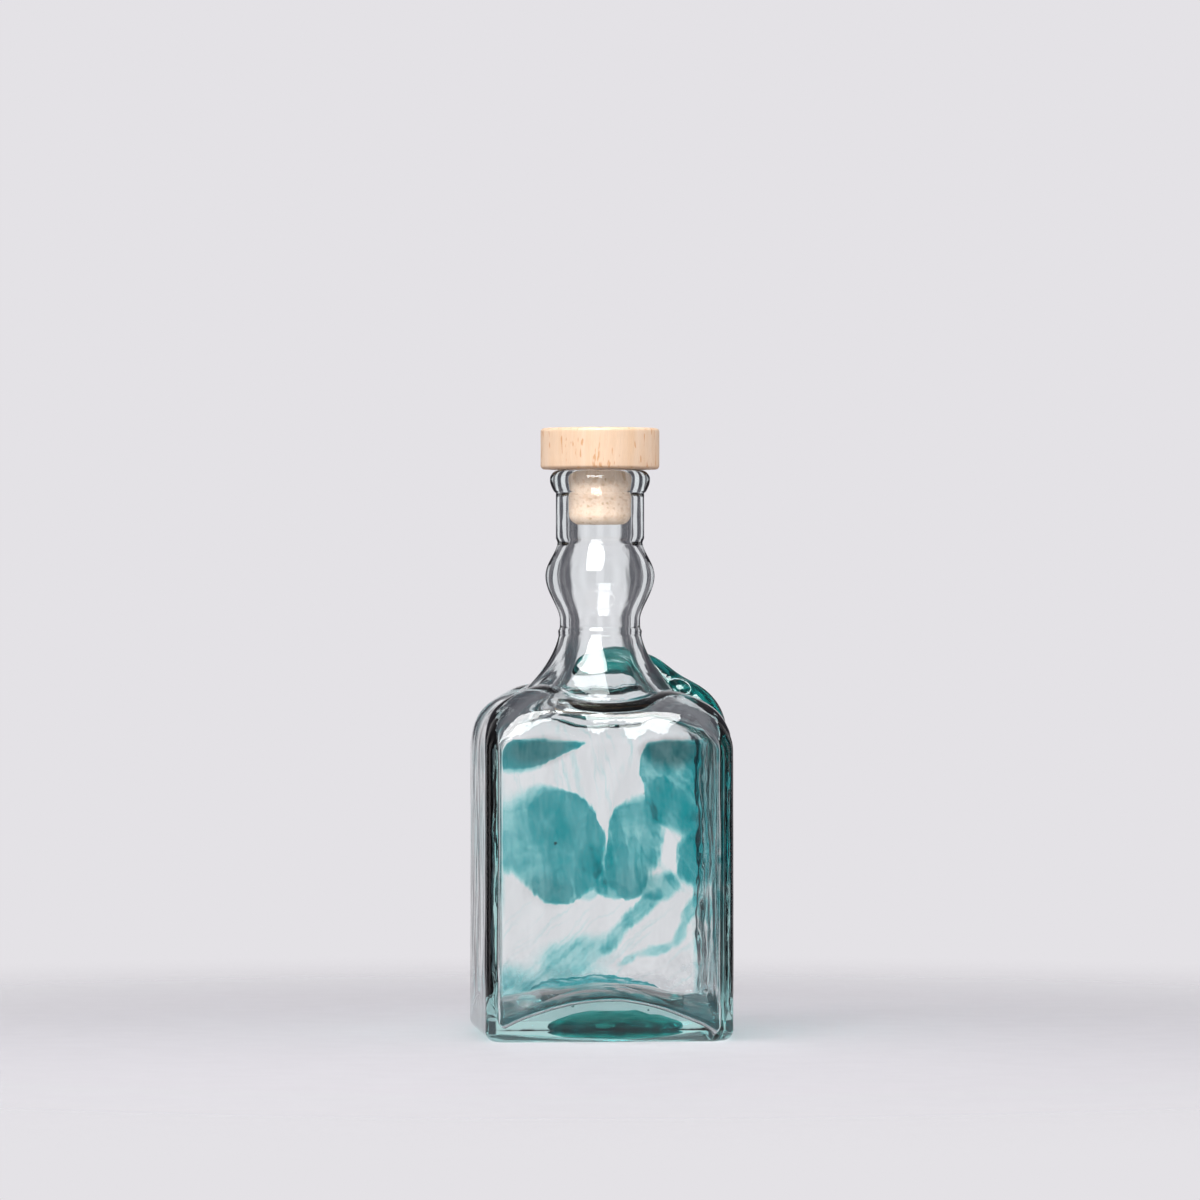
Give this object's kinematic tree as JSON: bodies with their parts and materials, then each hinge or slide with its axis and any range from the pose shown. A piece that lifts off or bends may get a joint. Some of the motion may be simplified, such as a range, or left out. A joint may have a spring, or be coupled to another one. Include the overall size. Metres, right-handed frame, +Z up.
{
  "type": "corked glass bottle",
  "caption": "Square hand-blown clear glass bottle with a bulbed neck, turquoise colour in its wall and a wood-topped cork stopper that lifts out.",
  "frame": {"origin": "middle of the square base, on the surface that the bottle stands on", "axes": "+Z up along the neck and the stopper's pull; the front face looks along -Y; the turquoise clouds are on the back wall at +Y and the trail runs down the right wall at +X"},
  "size_m": [0.0932, 0.091, 0.2249],
  "materials": {
    "clear_glass": "clear hand-blown soda glass, gloss, slightly wavy",
    "turquoise_glass": "turquoise glass melted into the wall, gloss",
    "deep_turquoise_glass": "thick deep turquoise glass, gloss",
    "pale_turquoise_glass": "thin pale turquoise glass melted into the wall, gloss",
    "beech_wood": "turned and sanded beech, satin",
    "pressed_cork": "fine pressed cork, matt",
    "wood_glue": "dried glue film"
  },
  "bodies": {
    "bottle": {"bottle_body": "clear_glass", "colour_cloud_left": "turquoise_glass", "colour_cloud_right": "turquoise_glass", "colour_band_upper": "deep_turquoise_glass", "colour_streak_lower": "pale_turquoise_glass", "colour_pool_base": "deep_turquoise_glass", "shoulder_trail": "deep_turquoise_glass"},
    "stopper": {"stopper_head": "beech_wood", "stopper_cork": "pressed_cork", "stopper_glue": "wood_glue"}
  },
  "joints": [
    {"name": "stopper_lift", "type": "slide", "parent": "bottle", "child": "stopper", "axis": [0, 0, 1], "range_m": [0, 0.04]}
  ]
}
